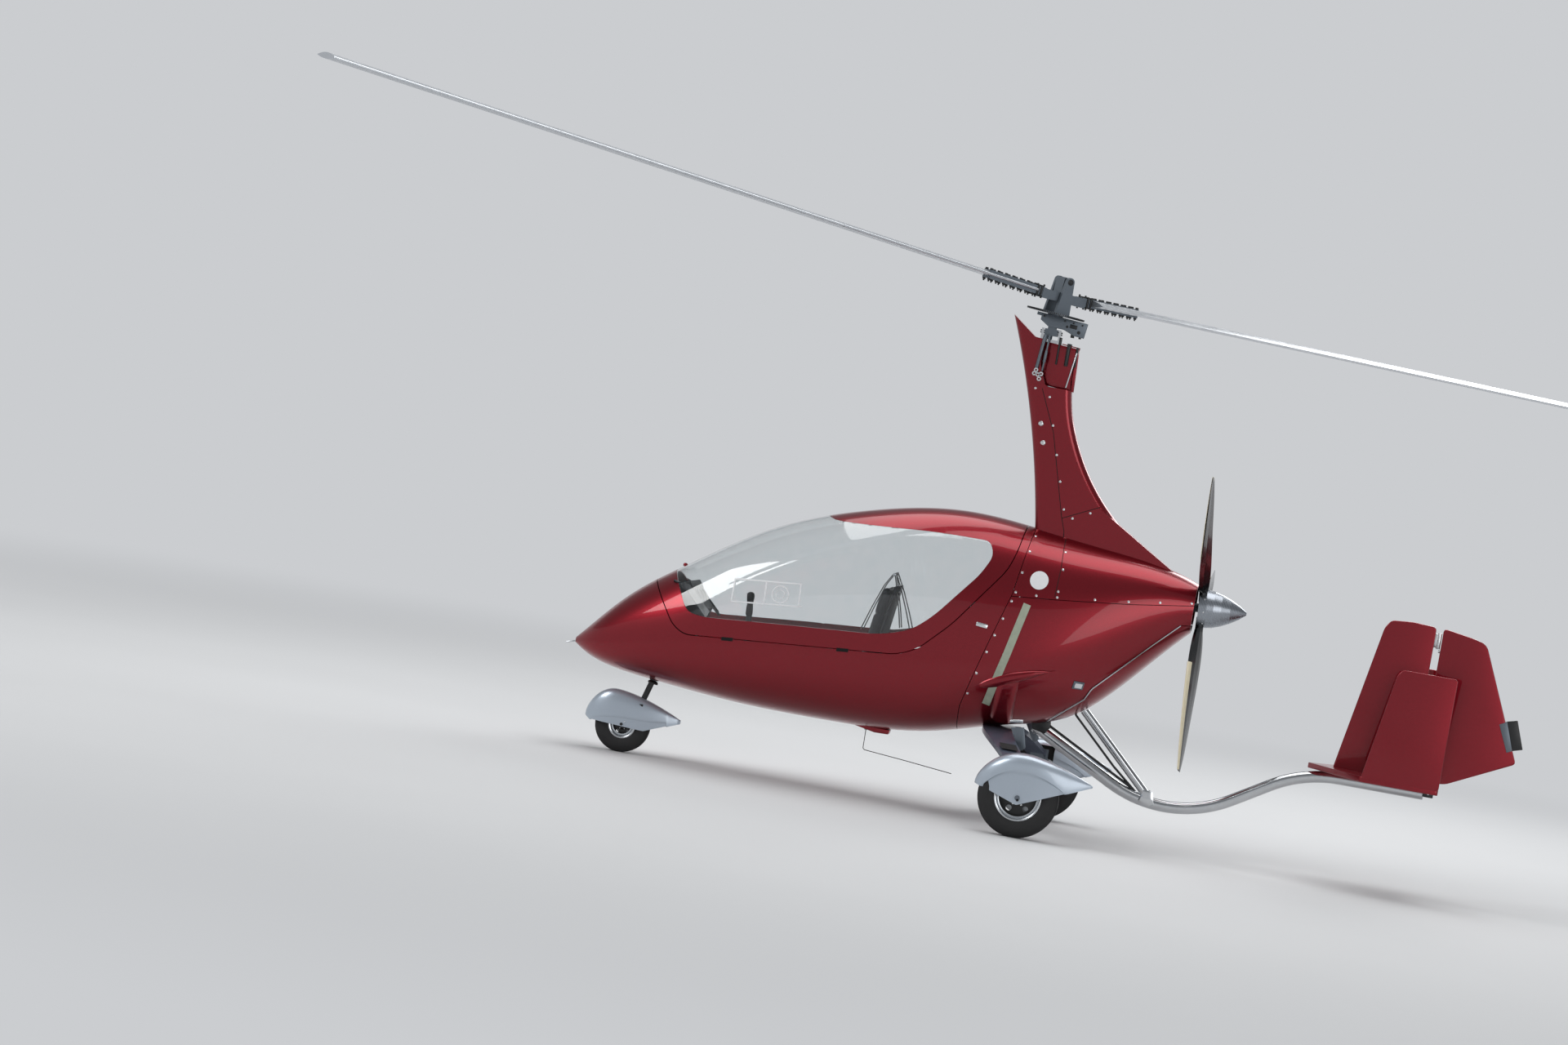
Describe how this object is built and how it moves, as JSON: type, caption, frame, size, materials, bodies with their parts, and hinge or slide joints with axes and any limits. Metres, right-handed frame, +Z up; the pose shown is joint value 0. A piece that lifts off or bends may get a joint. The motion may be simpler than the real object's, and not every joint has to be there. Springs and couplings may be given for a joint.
{
  "type": "gyrocopter",
  "caption": "Enclosed tandem gyrocopter with a free-turning two-blade rotor, pusher propeller, hinged canopy, steered nose wheel, spats and working rudder.",
  "frame": {"origin": "on the ground under the middle of the overall box, close below the rotor head", "axes": "+X towards the tail, +Y to starboard, +Z up"},
  "size_m": [6.9824, 4.9544, 3.158],
  "materials": {
    "painted_shell": "clear-coated candy red paint on a composite shell",
    "clear_acrylic": "clear acrylic, polished",
    "dark_cabin": "dark grey moulded lining",
    "firewall_sheet": "bare aluminium sheet",
    "upholstery": "dark grey woven cover",
    "grey_anodised": "grey anodised aluminium",
    "polished_steel": "polished stainless steel",
    "composite_bow": "grey-blue glass-fibre laminate",
    "silver_shell": "silver-grey paint on a composite shell",
    "grey_steel": "blue-grey powder coat",
    "tyre_rubber": "black rubber",
    "wheel_alloy": "bright turned aluminium",
    "blade_aluminium": "bright extruded aluminium",
    "engine_block": "cast aluminium block",
    "carbon_black": "black composite",
    "satin_silver": "satin silver spinner"
  },
  "bodies": {
    "airframe": {"cabin_floor": "dark_cabin", "control_stick": "dark_cabin", "cowl_port": "painted_shell", "cowl_starboard": "painted_shell", "cowl_upper": "painted_shell", "engine": "engine_block", "exhaust_wedge": "painted_shell", "firewall": "firewall_sheet", "fuselage_tub": "painted_shell", "gear_bow": "composite_bow", "instrument_panel": "dark_cabin", "keel_strut": "polished_steel", "keel_tube": "polished_steel", "main_axles": "grey_anodised", "main_spats": "silver_shell", "mast_fairing_front": "painted_shell", "mast_fairing_rear": "painted_shell", "nose_leg_bearing": "grey_steel", "outer_fins": "painted_shell", "rotor_mast": "polished_steel", "seat_front": "upholstery", "seat_rear": "upholstery", "stabiliser": "painted_shell", "tail_fin": "painted_shell"},
    "canopy": {"canopy_frame": "painted_shell", "canopy_glass": "clear_acrylic"},
    "nose_leg": {"nose_fork": "grey_steel", "nose_spat": "silver_shell"},
    "nose_wheel": {"tyre_nose": "tyre_rubber", "rim_nose": "wheel_alloy"},
    "main_wheel_port": {"tyre_port": "tyre_rubber", "rim_port": "wheel_alloy"},
    "main_wheel_starboard": {"tyre_starboard": "tyre_rubber", "rim_starboard": "wheel_alloy"},
    "propeller": {"propeller_blades": "carbon_black", "spinner": "satin_silver"},
    "rudder": {"rudder": "painted_shell"},
    "head_roll": {"gimbal_cross": "grey_anodised"},
    "head_pitch": {"rotor_head_block": "grey_anodised"},
    "rotor_hub": {"teeter_towers": "grey_anodised"},
    "rotor": {"hub_bar": "grey_anodised", "rotor_blades": "blade_aluminium"}
  },
  "joints": [
    {"name": "canopy_hinge", "type": "hinge", "parent": "airframe", "child": "canopy", "pos_m": [-0.988, 0.396, 0.703], "axis": [-0.9959, 0, -0.0906], "range_deg": [0, 80]},
    {"name": "nose_steering", "type": "hinge", "parent": "airframe", "child": "nose_leg", "pos_m": [-1.683, 0, 0.395], "axis": [0.1564, 0, 0.9877], "range_deg": [-30, 30]},
    {"name": "nose_wheel_spin", "type": "hinge", "parent": "nose_leg", "child": "nose_wheel", "pos_m": [-1.797, 0, 0.14], "axis": [0, 1, 0], "continuous": true},
    {"name": "port_wheel_spin", "type": "hinge", "parent": "airframe", "child": "main_wheel_port", "pos_m": [0.305, -0.78, 0.2], "axis": [0, 1, 0], "continuous": true},
    {"name": "starboard_wheel_spin", "type": "hinge", "parent": "airframe", "child": "main_wheel_starboard", "pos_m": [0.305, 0.78, 0.2], "axis": [0, 1, 0], "continuous": true},
    {"name": "propeller_spin", "type": "hinge", "parent": "airframe", "child": "propeller", "pos_m": [0.997, 0, 1.25], "axis": [0.9987, 0, 0.0506], "continuous": true},
    {"name": "rudder_hinge", "type": "hinge", "parent": "airframe", "child": "rudder", "pos_m": [2.192, 0, 0.98], "axis": [0, 0, 1], "range_deg": [-28, 28]},
    {"name": "head_roll_pivot", "type": "hinge", "parent": "airframe", "child": "head_roll", "pos_m": [0.005, 0, 2.485], "axis": [1, 0, 0], "range_deg": [-9, 9]},
    {"name": "head_pitch_pivot", "type": "hinge", "parent": "head_roll", "child": "head_pitch", "pos_m": [0.005, 0, 2.53], "axis": [0, 1, 0], "range_deg": [-5, 13]},
    {"name": "rotor_spin", "type": "hinge", "parent": "head_pitch", "child": "rotor_hub", "pos_m": [0.005, 0, 2.53], "axis": [0.0819, 0, 0.9966], "continuous": true},
    {"name": "rotor_teeter", "type": "hinge", "parent": "rotor_hub", "child": "rotor", "pos_m": [0.02319, 0, 2.75125], "axis": [0.5788, -0.8141, -0.0476], "range_deg": [-8, 8]}
  ]
}
